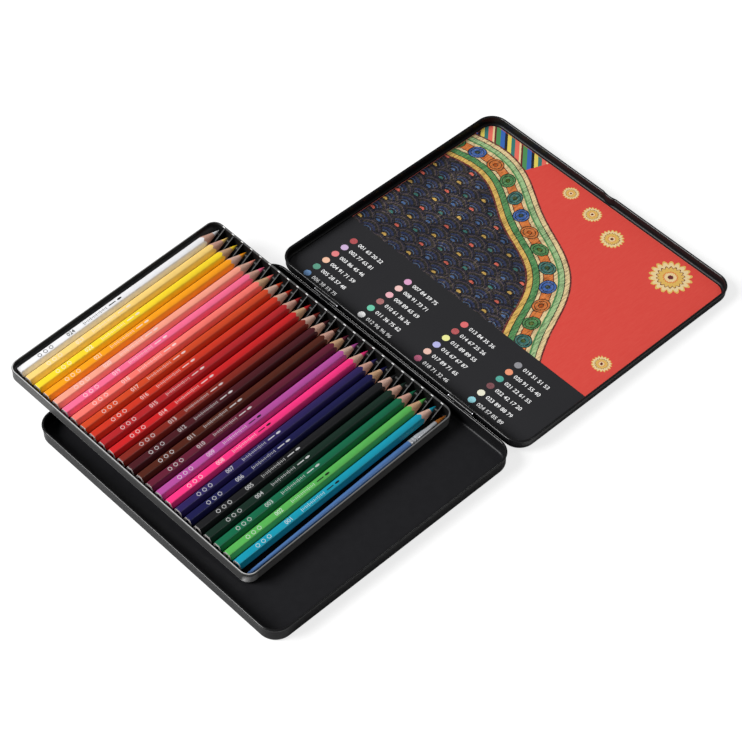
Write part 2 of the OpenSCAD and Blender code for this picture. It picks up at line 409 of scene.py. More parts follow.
@dataclass
class Graph:
    """Adds nodes to a tree and links them."""

    tree: bpy.types.NodeTree

    @classmethod
    def fresh(cls, owner: bpy.types.ID) -> "Graph":
        """Starts a shader afresh.

        Args:
            owner: The material or world whose nodes are emptied.

        Returns:
            The graph of its node tree.
        """
        owner.use_nodes = True
        owner.node_tree.nodes.clear()
        return cls(owner.node_tree)

    def node(self, kind: str, inputs: dict | None = None, **settings: object) -> bpy.types.Node:
        """Makes one node.

        Args:
            kind: The node's type name.
            inputs: Values, sockets or Numbers for the inputs, by name or number.
            settings: Properties of the node.

        Returns:
            The node.
        """
        made = self.tree.nodes.new(kind)
        for key, value in settings.items():
            setattr(made, key, value)
        for key, value in (inputs or {}).items():
            self.feed(made.inputs[key], value)
        return made

    def feed(self, socket: Socket, value: object) -> None:
        """Gives an input its value, by a link when it comes from a node.

        Args:
            socket: The input.
            value: A Number, a socket or a plain value.
        """
        value = value.socket if isinstance(value, Number) else value
        if isinstance(value, Socket):
            self.tree.links.new(value, socket)
        elif isinstance(value, tuple) and len(value) == 3 and socket.type == "RGBA":
            socket.default_value = (*value, 1)
        else:
            socket.default_value = value

    def mix(self, share: object, a: object, b: object, blend: str = "MIX") -> Socket:
        """Blends two colours."""
        inputs = {0: share, 6: a, 7: b}
        made = self.node("ShaderNodeMix", inputs, data_type="RGBA", blend_type=blend)
        return made.outputs[2]

    def noise(
        self, place: object, scale: float, detail: float = 3, rough: float = 0.55
    ) -> "Number":
        """Smooth noise about 0.5."""
        inputs = {"Vector": place, "Scale": scale, "Detail": detail, "Roughness": rough}
        return Number(self, self.node("ShaderNodeTexNoise", inputs).outputs[0])

    def cloud(self, place: object) -> "Number":
        """The soft noise by which one-colour surfaces drift."""
        return self.noise(place, 0.18, 5)

    def ramp(self, share: object, stops: str) -> Socket:
        """A colour that follows a value from 0 to 1 in hard steps.

        Args:
            share: The value.
            stops: Each ink after the hundredth from which it holds, as in "0 GOLD, 25 ROSE".

        Returns:
            The colour.
        """
        made = self.node("ShaderNodeValToRGB", {0: share})
        made.color_ramp.interpolation = "CONSTANT"
        elements = made.color_ramp.elements
        wanted = [stop.split() for stop in stops.split(",")]
        while len(elements) < len(wanted):
            elements.new(1)
        for element, (hundredths, name) in zip(elements, wanted):
            element.position = int(hundredths) / 100
            element.color = (*Ink[name].rgb, 1)
        return made.outputs[0]

    def scaled(self, vector: object, factors: Point3) -> Socket:
        """A vector with each part multiplied by its own factor."""
        inputs = {0: vector, 1: factors}
        return self.node("ShaderNodeVectorMath", inputs, operation="MULTIPLY").outputs[0]

    def parts(self, vector: object) -> tuple["Number", "Number", "Number"]:
        """The three parts of a vector."""
        made = self.node("ShaderNodeSeparateXYZ", {0: vector})
        return tuple(Number(self, output) for output in made.outputs)

    def joined(self, x: object, y: object, z: object) -> Socket:
        """The vector of three parts."""
        return self.node("ShaderNodeCombineXYZ", {0: x, 1: y, 2: z}).outputs[0]

    def object_place(self, frame: LocalFrame | None) -> Socket:
        """Object coordinates in millimetres.

        Args:
            frame: The piece's own frame to turn them into, or None.

        Returns:
            The coordinates.
        """
        place = self.node("ShaderNodeTexCoord").outputs["Object"]
        if frame is None:
            return self.scaled(place, (1 / MM, 1 / MM, 1 / MM))
        spot, turn, size = frame.matrix().inverted().decompose()
        inputs = {"Vector": place, "Location": spot, "Rotation": turn.to_euler(), "Scale": size}
        return self.node("ShaderNodeMapping", inputs).outputs[0]

    def bump(self, height: object, depth: float) -> Socket:
        """A normal for a height from 0 to 1 that stands for depth millimetres."""
        inputs = {"Height": height, "Distance": depth * MM, "Strength": 1.0}
        return self.node("ShaderNodeBump", inputs).outputs[0]


def math_node(operation: str, backwards: bool = False) -> Callable[..., "Number"]:
    """Makes a method of Number that runs one Math node.

    Args:
        operation: The node's operation.
        backwards: Whether the number comes after the other value.

    Returns:
        The method. It takes the other value where the operation needs one.
    """

    def run(number: "Number", *others: object) -> "Number":
        """Adds the node.

        Args:
            number: The first value, or the last if backwards.
            others: The other values.

        Returns:
            The node's result.
        """
        values = (*others, number) if backwards else (number, *others)
        made = number.graph.node("ShaderNodeMath", dict(enumerate(values)), operation=operation)
        return Number(number.graph, made.outputs[0])

    return run


@dataclass
class Number:
    """A single value in a node tree that takes part in ordinary sums."""

    graph: Graph
    socket: Socket

    __add__ = math_node("ADD")
    __radd__ = math_node("ADD", True)
    __sub__ = math_node("SUBTRACT")
    __rsub__ = math_node("SUBTRACT", True)
    __mul__ = math_node("MULTIPLY")
    __rmul__ = math_node("MULTIPLY", True)
    __truediv__ = math_node("DIVIDE")
    __lt__ = math_node("LESS_THAN")
    __gt__ = math_node("GREATER_THAN")
    at_least = math_node("MAXIMUM")
    at_most = math_node("MINIMUM")
    floor = math_node("FLOOR")
    fract = math_node("FRACT")
    size = math_node("ABSOLUTE")
    sin = math_node("SINE")
    cos = math_node("COSINE")
    root = math_node("SQRT")
    angle = math_node("ARCTAN2")  # of the point whose y is this number and whose x is the other

    def clamped(self) -> "Number":
        """The value held between 0 and 1."""
        return self.at_most(1.0).at_least(0.0)

    def above(self, edge: object, soft: float) -> "Number":
        """Rises from 0 to 1 over a soft step about an edge."""
        return ((self - edge) / soft + 0.5).clamped()


def length2(x: Number, y: Number) -> Number:
    """Length of a flat vector."""
    return (x * x + y * y).root()


@dataclass
class NodeRig:
    """A Geometry Nodes modifier that makes one piece from named sizes and, if given, a mesh."""

    name: str
    sizes: dict[str, float]
    mesh: Mesh | None = None

    def __post_init__(self) -> None:
        """Makes the object that holds the modifier, and its tree with an input for each size."""
        self.holder = link(self.name, self.mesh or bpy.data.meshes.new(self.name))
        self.tree = bpy.data.node_groups.new(self.name, "GeometryNodeTree")
        self.graph = Graph(self.tree)
        interface = self.tree.interface
        for way in ("OUTPUT", "INPUT"):
            interface.new_socket("Geometry", in_out=way, socket_type="NodeSocketGeometry")
        for key in self.sizes:
            interface.new_socket(key, in_out="INPUT", socket_type="NodeSocketFloat")
        entry = self.graph.node("NodeGroupInput")
        self.given = {output.name: output for output in entry.outputs if output.name}

    def strew(self, spots: Socket, piece: bpy.types.Node, **scale: Socket) -> Socket:
        """Puts a copy of a piece on each spot.

        Args:
            spots: The points.
            piece: The node that makes the piece.
            scale: The copies' Scale, if they differ in size.

        Returns:
            The copies as real geometry.
        """
        inputs = {"Points": spots, "Instance": piece.outputs[0], **scale}
        copies = self.graph.node("GeometryNodeInstanceOnPoints", inputs)
        return self.graph.node("GeometryNodeRealizeInstances", {0: copies.outputs[0]}).outputs[0]

    def bake(self, geometry: Socket, frame: LocalFrame, material: Material) -> Thing:
        """Runs the nodes and keeps their result as an ordinary mesh.

        Args:
            geometry: The realized geometry, in millimetres.
            frame: Where the millimetres lie.
            material: The material of the whole piece.

        Returns:
            The object, at the origin, without its modifier.
        """
        inputs = {"Geometry": geometry, "Material": material}
        dressed = self.graph.node("GeometryNodeSetMaterial", inputs)
        self.graph.node("NodeGroupOutput", {0: dressed.outputs[0]})
        modifier = self.holder.modifiers.new(self.name, "NODES")
        modifier.node_group = self.tree
        for item in self.tree.interface.items_tree:
            if item.in_out == "INPUT" and item.name in self.sizes:
                modifier[item.identifier] = self.sizes[item.name]
        mesh = evaluated_mesh(self.holder)
        self.holder.modifiers.clear()
        mesh.transform(frame.matrix())
        self.holder.data = mesh
        return self.holder


# ---------- Materials ----------


@dataclass(frozen=True)
class Finish:
    """How a surface takes light. Grain is a bump's depth and size in millimetres."""

    roughness: float
    grain: float
    grain_size: float
    coat: float = 0.0
    metallic: float = 0.0
    specular: float = 0.5


ENAMEL = Finish(roughness=0.36, grain=0.006, grain_size=0.7, coat=0.04, specular=0.1)
PLASTIC = Finish(roughness=0.42, grain=0.012, grain_size=0.28, specular=0.25)
LACQUER = Finish(roughness=0.34, grain=0.008, grain_size=0.8, coat=0.2, specular=0.3)
FOIL = Finish(roughness=0.38, grain=0.003, grain_size=0.3, specular=0.6)
WOOD = Finish(roughness=0.68, grain=0.03, grain_size=0.35, specular=0.25)
WAX = Finish(roughness=0.5, grain=0.02, grain_size=0.25, specular=0.35)
STEEL = Finish(roughness=0.3, grain=0.004, grain_size=0.25, metallic=1.0)
FERRULE = Finish(roughness=0.26, grain=0.004, grain_size=0.25, metallic=0.6)
CARD = Finish(roughness=0.55, grain=0.006, grain_size=0.4, specular=0.3)
HAIR = Finish(roughness=0.45, grain=0.01, grain_size=0.3)

WEAR = 0.16  # how far wear changes the roughness
POLISH = 0.35  # coat that a polished rim has over the rest
COAT_ROUGHNESS = 0.16


@dataclass
class Maker:
    """Makes procedural materials and remembers them by name."""

    made: dict[str, Material] = field(default_factory=dict)

    def surface(
        self, name: str, finish: Finish, paint: Callable[[Graph, Socket], object],
        frame: LocalFrame | None = None, polished_from: float | None = None,
    ) -> Material:
        """Makes a material once and returns it each time.

        Args:
            name: The material's name.
            finish: How the surface takes light.
            paint: Makes the colour from a graph and a place in millimetres.
            frame: The piece's own frame when the colour follows its shape.
            polished_from: Height in millimetres above which a rim is polished bright.

        Returns:
            The material.
        """
        if name in self.made:
            return self.made[name]
        material = bpy.data.materials.new(name)
        graph = Graph.fresh(material)
        place = graph.object_place(frame)
        wear = graph.noise(place, 0.05, 4)
        grain = graph.noise(place, 1 / finish.grain_size, 2)
        coat = finish.coat
        if polished_from is not None:
            coat = graph.parts(place)[2].above(polished_from, 0.4) * POLISH + coat
        inputs = {
            "Base Color": paint(graph, place),
            "Roughness": (wear - 0.5) * WEAR + finish.roughness,
            "Metallic": finish.metallic,
            "Specular IOR Level": finish.specular,
            "Coat Weight": coat,
            "Coat Roughness": COAT_ROUGHNESS,
            "Normal": graph.bump(grain, finish.grain),
        }
        shader = graph.node("ShaderNodeBsdfPrincipled", inputs)
        graph.node("ShaderNodeOutputMaterial", {"Surface": shader.outputs[0]})
        self.made[name] = material
        return material

    def plain(self, name: str, finish: Finish, colour: Rgb, drift: float = 0.12) -> Material:
        """Makes a surface of one colour that drifts a little in lightness.

        Args:
            name: The material's name.
            finish: How the surface takes light.
            colour: The linear colour.
            drift: Share by which the colour darkens and lightens.

        Returns:
            The material.
        """

        def paint(graph: Graph, place: Socket) -> Socket:
            """Blends the darker and the lighter colour."""
            return graph.mix(graph.cloud(place), toned(colour, 1 - drift), toned(colour, 1 + drift))

        return self.surface(name, finish, paint)

    def wood(self, name: str, colour: Rgb, frame: LocalFrame) -> Material:
        """Makes bare wood.

        Args:
            name: The material's name.
            colour: The wood's linear colour.
            frame: Its x axis is the grain's direction and starts at the sawn end.

        Returns:
            The material.
        """

        def paint(graph: Graph, place: Socket) -> Socket:
            """Draws streaks and pores, and pales the sawn end as painted light.

            Args:
                graph: The material's nodes.
                place: The place in the piece's frame.

            Returns:
                The colour.
            """
            streaks = graph.noise(graph.scaled(place, (0.08, 1.6, 1.6)), 1.0, 4, 0.7)
            pores = graph.noise(graph.scaled(place, (0.5, 7, 7)), 1.0, 2).above(0.62, 0.12)
            base = graph.mix((streaks - 0.3) * 2.2, toned(colour, 0.62), colour)
            base = graph.mix(pores * 0.35, base, toned(colour, 0.45))
            # Painted light: the sawn end is paled towards white.
            sawn = graph.parts(place)[0] < 1.0
            return graph.mix(sawn * 0.75, base, Ink.WHITE.rgb)

        return self.surface(name, WOOD, paint, frame)


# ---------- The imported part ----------


@dataclass
class Bench:
    """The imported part, and what every sub-assembly needs to work on it."""

    frame: dict
    maker: Maker = field(default_factory=Maker)

    def __post_init__(self) -> None:
        """Looks up nodes, joints, slots and linear colours."""
        self.nodes = self.frame["nodes"]
        self.joints = {joint["name"]: joint for joint in self.frame["joints"]}
        record = self.frame["record"]
        self.slots = {item["node"]: item["material_slot"] for item in record["subparts"]}
        colours = {item["slot"]: linear(item["base_color"]) for item in record["materials"]}
        self.colours = {node: colours[slot] for node, slot in self.slots.items()}
        self.hinge = Vector(self.joints["lid_hinge"]["pos_m"])

    def points(self, node: str) -> list[Vector]:
        """The distinct vertices of a CAD node, in metres."""
        vertices = self.nodes[node].data.vertices
        return [Vector(place) for place in {tuple(round(c, 7) for c in v.co) for v in vertices}]

    def axis(self, joint: str) -> Vector:
        """The direction of a joint."""
        return Vector(self.joints[joint]["axis"]).normalized()

    def lie(self, first: str, last: str, joint: str, band: float = 0.0002) -> LocalFrame:
        """Finds the frame of a long piece.

        Args:
            first: The CAD node at the piece's left end.
            last: The CAD node at its right end.
            joint: The joint whose direction is up.
            band: Depth of the right end's vertices, in metres.

        Returns:
            The frame that starts at the left end and runs along the piece.
        """
        start = end_centre(self.points(first), -RIGHT)
        end = end_centre(self.points(last), RIGHT, band)
        return LocalFrame.along(start, end, self.axis(joint))

    def keep(self, thing: Thing, body: str, *nodes: str) -> None:
        """Fastens a piece to a body.

        Args:
            thing: The piece.
            body: The body that it moves with.
            nodes: The CAD nodes that it stands for.
        """
        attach(thing, body)
        if nodes:
            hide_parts(*nodes)
        LOG.info("%s rides on %s, %d faces", thing.name, body, len(thing.data.polygons))

    def dress(self, node: str, material: Material) -> None:
        """Finishes a CAD node that stays in view.

        Args:
            node: The node's name.
            material: Its material.
        """
        mesh = self.nodes[node].data
        mesh.materials.clear()
        mesh.materials.append(material)
        LOG.info("%s takes %s", node, material.name)


# ---------- Pencils ----------

WOOD_TONES = ((0.87, 0.69, 0.61), (0.89, 0.73, 0.66), (0.84, 0.67, 0.52), (0.86, 0.66, 0.59))
DARK_MARKS = {"white"}
DARK_STEMS = DARK_MARKS | {"turquoise", "light_green", "hot_pink", "orchid"}


@dataclass
class Pencil:
    """One hexagonal pencil, in millimetres from its blunt end: casing, printed marks and core."""

    bench: Bench
    number: int
    flats: float = 7.36
    flat_steps: int = 7
    edge_round: float = 0.9
    length: float = 176.0
    tip_r: float = 0.3
    slope: float = 0.2429
    bore_r: float = 1.68
    lead_r: float = 1.64
    waist: float = 0.4
    chamfer: float = 0.3
    paint_step: float = 0.05
    mark_rise: float = 0.03
    rings: tuple[float, ...] = (17.6, 22.4, 27.2)
    ring_r: float = 1.6
    ring_hole: float = 0.72
    number_x: float = 44.2
    number_h: float = 2.9
    ticks_from: float = 55.4
    ticks: tuple[int, ...] = (13, 8, 5, 10, 7, 13, 5, 9, 6, 10, 5, 8, 13, 6, 9, 5, 11)  # tenths
    tick_step: float = 1.2
    tick_half_w: float = 0.18
    stem: Point2 = (77.2, 83.0)
    stem_half_w: float = 0.36
    dot_x: float = 86.2
    dot_r: Point2 = (1.9, 0.7)

    def __post_init__(self) -> None:
        """Looks up the pencil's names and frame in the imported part."""
        self.body = f"pencil_{self.number:02d}"
        self.casing_node = f"pencil_casing_{self.number:02d}"
        self.lead_node = f"pencil_lead_{self.number:02d}"
        self.frame = self.bench.lie(self.lead_node, self.lead_node, f"{self.body}_lift")
        self.colour_name = self.bench.slots[self.casing_node].removesuffix("_lacquer")

    def section(self) -> list[Point2]:
        """Rounds the hexagon's corners and divides its flats.

        Returns:
            The casing's outline across its length.
        """
        corner = (self.flats / 2 - self.edge_round) / math.cos(math.pi / 6)
        rounds = []
        for turn in full_turn(6):
            y, z, middle = corner * math.cos(turn), corner * math.sin(turn), math.degrees(turn)
            rounds.append(arc(y, z, self.edge_round, middle - 30, middle + 30, 4))
        outline: list[Point2] = []
        for here, after in zip(rounds, rounds[1:] + rounds[:1]):
            (ay, az), (by, bz) = here[-1], after[0]
            shares = [i / self.flat_steps for i in range(1, self.flat_steps)]
            outline += here + [(ay + (by - ay) * s, az + (bz - az) * s) for s in shares]
        return outline

    def reach(self, radius: float) -> float:
        """Where the sharpened cone has a given radius, from the blunt end."""
        return self.length - (radius - self.tip_r) / self.slope

    def casing(self) -> None:
        """Builds the casing and its marks as one mesh."""
        maker, lacquer = self.bench.maker, self.bench.colours[self.casing_node]
        shell = Shell()
        half = self.flats / 2
        outline = self.section()
        radii = [math.hypot(y, z) for y, z in outline]

        def level(x: float, factor: float = 1.0) -> list[int]:
            """A ring across the casing, drawn in by a factor."""
            return shell.ring((x, y * factor, z * factor) for y, z in outline)

        def round_level(x: float, radius: float) -> list[int]:
            """A round ring across the casing."""
            spots = zip(outline, radii)
            return shell.ring((x, radius * y / r, radius * z / r) for (y, z), r in spots)

        def scallop(factor: float) -> list[int]:
            """The edge along which the cone cuts the casing, drawn in by a factor."""
            cuts = [self.reach(r * factor) for r in radii]
            return shell.ring((x, y * factor, z * factor) for x, (y, z) in zip(cuts, outline))

        rings = [
            round_level(0.0, self.bore_r), level(0.0, 1 - self.chamfer / half), level(self.chamfer),
            scallop(1.0), scallop(1 - self.paint_step / half),
            round_level(self.reach(half - self.waist), half - self.waist),
            round_level(self.reach(self.bore_r), self.bore_r),
        ]
        for a, b, slot in zip(rings, rings[1:] + rings[:1], (1, 0, 0, 1, 1, 1, 1)):
            shell.bridge(a, b, slot)
        self.add_marks(shell)
        pale = tuple(c * 0.35 + 0.48 for c in lacquer)
        light = maker.plain(f"{self.colour_name}_foil", FOIL, pale, 0.25)
        dark = maker.plain("foil_black", FOIL, Ink.BLACK.rgb)
        cedar = linear(WOOD_TONES[(self.number * 5) % len(WOOD_TONES)])
        made = shell.build(
            self.body, self.frame,
            maker.plain(f"{self.colour_name}_lacquer", LACQUER, lacquer, 0.1),
            maker.wood(f"cedar_{self.number:02d}", cedar, self.frame),
            dark if self.colour_name in DARK_MARKS else light,
            dark if self.colour_name in DARK_STEMS else light,
        )
        self.bench.keep(made, self.body, self.casing_node)

    def add_marks(self, shell: Shell) -> None:
        """Lays the printed marks on the top flat: rings, number, ticks, stem and dot.

        Args:
            shell: The casing's surfaces, which take the marks in slots 2 and 3.
        """
        bottom, top = self.flats / 2 - PRINT_SINK, self.flats / 2 + self.mark_rise
        for x in self.rings:
            rim, hole = (oval(x, r, r, 6) for r in (self.ring_r, self.ring_r * self.ring_hole))
            shell.plate(rim, bottom, top, 2, hole)
        digits = figures(f"{self.number:03d}", self.number_h, True)
        shell.add_mesh(digits, Matrix.Translation((self.number_x, 0, bottom)), 2)
        for i, tenths in enumerate(self.ticks):
            x = self.ticks_from + i * self.tick_step
            tick = pill(x - self.tick_half_w, x + self.tick_half_w, tenths / 10, 0.1, 1)
            shell.plate(tick, bottom, top, 2)
        shell.plate(pill(*self.stem, self.stem_half_w, 0.3), bottom, top, 3)
        shell.plate(oval(self.dot_x, *self.dot_r, 16), bottom, top, 3)

    def core(self) -> None:
        """Builds the coloured core, which shows at the point and at the blunt end."""
        shell = Shell()
        profile = [
            (0.02, 0), (0.02, self.lead_r), (self.reach(self.lead_r), self.lead_r),
            (self.reach(0.8), 0.8), (self.length - 0.25, self.tip_r),
            (self.length - 0.06, self.tip_r * 0.75), (self.length, 0),
        ]
        shell.lathe(profile, 32)
        colour = self.bench.colours[self.lead_node]
        wax = self.bench.maker.plain(f"{self.colour_name}_lead", WAX, colour, 0.18)
        made = shell.build(f"{self.body}_core", self.frame, wax)
        self.bench.keep(made, self.body, self.lead_node)

    def build(self) -> None:
        """Builds both pieces."""
        self.casing()
        self.core()


# ---------- Brush ----------


@dataclass
class Brush:
    """The paint brush, in millimetres from its tail: handle, crimped ferrule and hairs."""

    bench: Bench
    handle_r: float = 2.7
    tail_r: float = 1.3
    grip_from: float = 116.5
    ferrule_from: float = 142.5
    ferrule_to: float = 166.5
    ferrule_tip_r: float = 1.9
    ferrule_wall: float = 0.3
    grooves: Point2 = (2.6, 5.0)
    groove_depth: float = 0.22
    lip: float = 0.08
    taper_from: float = 150.5
    taper_to: float = 159.5
    stub: float = 7.0
    root_depth: float = 6.0
    tip: float = 176.0
    hairs: int = 170
    hair_r: float = 0.1

    def __post_init__(self) -> None:
        """Finds the brush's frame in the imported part."""
        self.frame = self.bench.lie("brush_handle", "brush_bristles", "brush_lift", 0.00005)

    def keep(self, thing: Thing, node: str) -> None:
        """Fastens a piece of the brush in place of its CAD node."""
        self.bench.keep(thing, "brush", node)

    def paint(self, node: str, name: str, finish: Finish, drift: float) -> Material:
        """The material of a CAD node's colour."""
        return self.bench.maker.plain(name, finish, self.bench.colours[node], drift)

    def handle(self) -> None:
        """Builds the handle, which runs on inside the ferrule."""
        stub_r = self.handle_r - self.ferrule_wall - 0.04
        end = self.ferrule_from
        shell = Shell()
        profile = [
            (0, 0), (0.05, self.tail_r * 0.6), (0.5, self.tail_r * 0.93), (1.2, self.tail_r),
            (self.grip_from * 0.5, (self.tail_r + self.handle_r) / 2),
            (self.grip_from, self.handle_r), (end - 0.6, self.handle_r),
            (end - 0.05, self.handle_r * 0.97),
            (end, stub_r), (end + self.stub - 0.1, stub_r), (end + self.stub, 0),
        ]
        shell.lathe(profile, 40)
        lacquer = self.paint("brush_handle", "brush_lacquer", LACQUER, 0.14)
        made = shell.build("brush_handle_lacquered", self.frame, lacquer, crease=50)
        self.keep(made, "brush_handle")

    def ferrule(self) -> None:
        """Builds the ferrule with its two crimped grooves."""
        start, end, r, tip_r = self.ferrule_from, self.ferrule_to, self.handle_r, self.ferrule_tip_r
        profile = [(start, r - self.lip), (start + 0.3, r)]
        for groove in (start + place for place in self.grooves):
            profile += [(groove - 0.5, r), (groove, r - self.groove_depth), (groove + 0.5, r)]
        profile += [(self.taper_from, r), (self.taper_to, tip_r)]
        profile += [(end - 0.2, tip_r), (end, tip_r - self.lip)]
        inside = ((end, tip_r), (self.taper_to, tip_r), (self.taper_from, r), (start, r))
        profile += [(x, outer_r - self.ferrule_wall) for x, outer_r in inside]
        shell = Shell()
        shell.tube([shell.hoop(x, r, 48) for x, r in profile])
        metal = self.paint("brush_ferrule", "ferrule_metal", FERRULE, 0.06)
        self.keep(shell.build("brush_ferrule_crimped", self.frame, metal), "brush_ferrule")

    def bristles(self) -> None:
        """Grows tapered hairs from a disc with Geometry Nodes. They draw together at the point."""
        root = self.ferrule_to - self.root_depth
        root_r = self.ferrule_tip_r - self.ferrule_wall - 0.15
        sizes = {
            "Root radius": root_r, "Length": self.tip - root, "Hair radius": self.hair_r,
            "Density": self.hairs / (math.pi * root_r**2),
        }
        hairs = self.paint("brush_bristles", "bristle_orange", HAIR, 0.35)
        rig = NodeRig("brush_bristles_hair", sizes)
        graph, given = rig.graph, rig.given
        disc = {"Vertices": 32, "Radius": given["Root radius"]}
        disc = graph.node("GeometryNodeMeshCircle", disc, fill_type="NGON")
        spots = {"Mesh": disc.outputs[0], "Density": given["Density"], "Seed": 5}
        spots = graph.node("GeometryNodeDistributePointsOnFaces", spots, distribute_method="RANDOM")
        hair = graph.node("GeometryNodeMeshCone", {
            "Vertices": 5, "Side Segments": 8, "Radius Top": 0.02,
            "Radius Bottom": given["Hair radius"], "Depth": given["Length"],
        })
        spread = {2: 0.88, 3: 1.0, "Seed": 9}
        spread = graph.node("FunctionNodeRandomValue", spread, data_type="FLOAT")
        solid = rig.strew(spots.outputs[0], hair, Scale=graph.joined(1.0, 1.0, spread.outputs[1]))
        x, y, z = graph.parts(graph.node("GeometryNodeInputPosition").outputs[0])
        along = z / Number(graph, given["Length"])
        keep = 1.0 - 0.9 * (along * along * along)
        belly = keep * (1.0 + 0.1 * (along * 3.1).sin())
        moved = {"Geometry": solid, "Position": graph.joined(z, x * belly, y * belly)}
        moved = graph.node("GeometryNodeSetPosition", moved)
        frame = replace(self.frame, origin=self.frame.origin + self.frame.x * root * MM)
        self.keep(rig.bake(moved.outputs[0], frame, hairs), "brush_bristles")

    def build(self) -> None:
        """Builds the three pieces."""
        self.handle()
        self.ferrule()
        self.bristles()


# ---------- Card ----------


FOURTH = 0.2501  # a hair over a quarter, so that counted things take four colours in turn


@dataclass
class CardArt:
    """The card's printed design, made by shader sums: u runs away from the hinge and v along it."""

    graph: Graph
    place: Socket
    legend_end: float = 68.0
    edge: Point2 = (204.0, 110.6)
    edge_line: float = 0.4
    shake: float = 1.6
    wave_r: float = 12.0
    sweep: Point3 = (0.0, 105.0, 158.0)
    band: float = 31.0
    bead_step: float = 17.0
    bead_r: float = 6.2
    fan_from: float = 136.0
    fan_stripes: float = 26.0
    rosettes: tuple[Point3, ...] = (
        (194, 24, 6.0), (190, 0, 7.0), (183, -25, 8.5), (186, -76, 15.0), (96, -97, 7.0),
    )

    def __post_init__(self) -> None:
        """Shakes the coordinates as a crayon would and draws the waves' winding edge."""
        jitter = self.graph.noise(self.place, 0.35, 4, 0.7) - 0.5
        self.flat_u, self.flat_v, _ = self.graph.parts(self.place)
        self.crayon = self.streaks((0.16, 1.1, 1), 5, 0.75)
        self.u, self.v = (flat + jitter * self.shake for flat in (self.flat_u, self.flat_v))
        cx, cy, r = self.sweep
        x, y = self.u - cx, self.v - cy
        self.beyond = length2(x, y) - r + (y.angle(x) * 10.0).sin() * 4.0

    def streaks(self, factors: Point3, detail: float, rough: float) -> Number:
        """Noise drawn out along the card."""
        return self.graph.noise(self.graph.scaled(self.place, factors), 1.0, detail, rough)

    def waves(self) -> Socket:
        """Prints rows of overlapping round waves in dark blues, each with rings and a bright heart.

        Returns:
            The colour.
        """
        graph, r = self.graph, self.wave_r
        row = (self.u / (r / 2)).floor()
        colours = None
        stops = (
            "0 BLACK, 21 INDIGO, 31 STEEL, 35 INDIGO, 46 NAVY, "
            "60 NIGHT, 76 DUSK, 82 INDIGO, 95 BLACK"
        )
        for back in (0, 1):
            mine = row - back
            odd = (mine / 2).fract() * 2
            across = ((self.v / (2 * r) + odd * 0.5).fract() - 0.5) * (2 * r)
            share = length2(across, self.u - mine * (r / 2)) / r
            hearts = graph.ramp((mine * FOURTH).fract(), "0 GOLD, 25 SLATE, 50 ROSE, 75 TEAL")
            rings = graph.mix(share < 0.17, graph.ramp(share, stops), hearts)
            colours = rings if colours is None else graph.mix(share < 1.0, colours, rings)
        return colours

    def ribbons(self) -> Socket:
        """Prints stripes that follow the waves' edge, with a row of ringed beads in their middle.

        Returns:
            The colour.
        """
        graph = self.graph
        stops = (
            "0 MAROON, 4 GOLD, 15 BLACK, 17 GREEN, 30 BLACK, 32 SAND, 38 MAROON, 40 ORANGE, "
            "60 MAROON, 62 SAND, 70 GREEN, 74 MINT, 84 BLACK, 86 SAND, 96 MAROON"
        )
        stripes = graph.ramp(self.beyond / self.band, stops)
        cx, cy, r = self.sweep
        cell = (self.v - cy).angle(self.u - cx) * ((r + self.band * 0.5) / self.bead_step)
        across = (cell.fract() - 0.5) * self.bead_step
        far = length2(across, self.beyond - self.band * 0.5) / self.bead_r
        tint = graph.ramp((cell.floor() * FOURTH).fract(), "0 GREEN, 25 ORANGE, 50 BLUE, 75 TEAL")
        rings = graph.ramp(far, "0 GOLD, 22 BLACK, 30 WHITE, 62 BLACK, 70 WHITE, 90 BLACK")
        bead = graph.mix(1.0, rings, tint, "MULTIPLY")
        return graph.mix(far < 1.0, stripes, bead)

    def rosette(self, base: Socket, spot: Point3) -> Socket:
        """Prints one round flower in gold and cream.

        Args:
            base: The colour beneath.
            spot: The flower's place and its radius.

        Returns:
            The colour with the flower.
        """
        x, y = self.u - spot[0], self.v - spot[1]
        petals = 0.80 + (y.angle(x) * 9.0).cos().size() * 0.2
        share = length2(x, y) / spot[2] / petals
        stops = "0 MAROON, 14 SAND, 30 ORANGE, 36 GOLD, 62 MAROON, 67 SAND, 90 GOLD"
        return self.graph.mix(share < 1.0, base, self.graph.ramp(share, stops))

    def colour(self) -> Socket:
        """Prints the whole card.

        Returns:
            Its colour.
        """
        graph, crayon, mix = self.graph, self.crayon, self.graph.mix
        ground = mix((crayon - 0.35) * 0.5, Ink.RED.rgb, Ink.ROSE.rgb)
        stops = "0 GREEN, 16 BLUE, 32 NIGHT, 42 YELLOW, 56 TEAL, 70 ROSE, 86 SAND, 93 MAROON"
        fan = graph.ramp(((self.u * 0.9 - self.v) / self.fan_stripes).fract(), stops)
        ground = mix(self.v + self.u * 0.4 > self.fan_from, ground, fan)
        for spot in self.rosettes:
            ground = self.rosette(ground, spot)
        art = mix(self.beyond < self.band, ground, self.ribbons())
        art = mix(self.beyond < 0.0, art, self.waves())
        strokes = self.streaks((0.5, 1.9, 1), 4, 0.8)
        shadow = graph.noise(self.place, 0.045, 2)
        drawn = mix(strokes.above(0.58, 0.14) * 0.7, art, mix(0.4, art, Ink.SAND.rgb))
        drawn = mix((0.5 - crayon).above(0.04, 0.16) * 0.85, drawn, mix(0.75, art, Ink.BLACK.rgb))
        dim = shadow.above(0.5, 0.2) * 0.55 * (self.beyond < 0.0)
        drawn = mix(dim, drawn, mix(0.6, art, Ink.BLACK.rgb))
        drawn = mix(self.beyond < self.band, ground, drawn)
        legend = mix(crayon * 0.4, Ink.NIGHT.rgb, toned(Ink.NIGHT.rgb, 1.25))
        whole = mix(self.flat_u < self.legend_end, drawn, legend)
        far_u, far_v = (place - self.edge_line for place in self.edge)
        line = ((self.flat_v.size() > far_v) + (self.flat_u > far_u)).clamped()
        return mix(line * (self.flat_u > self.legend_end) * 0.5, whole, Ink.ROSE.rgb)


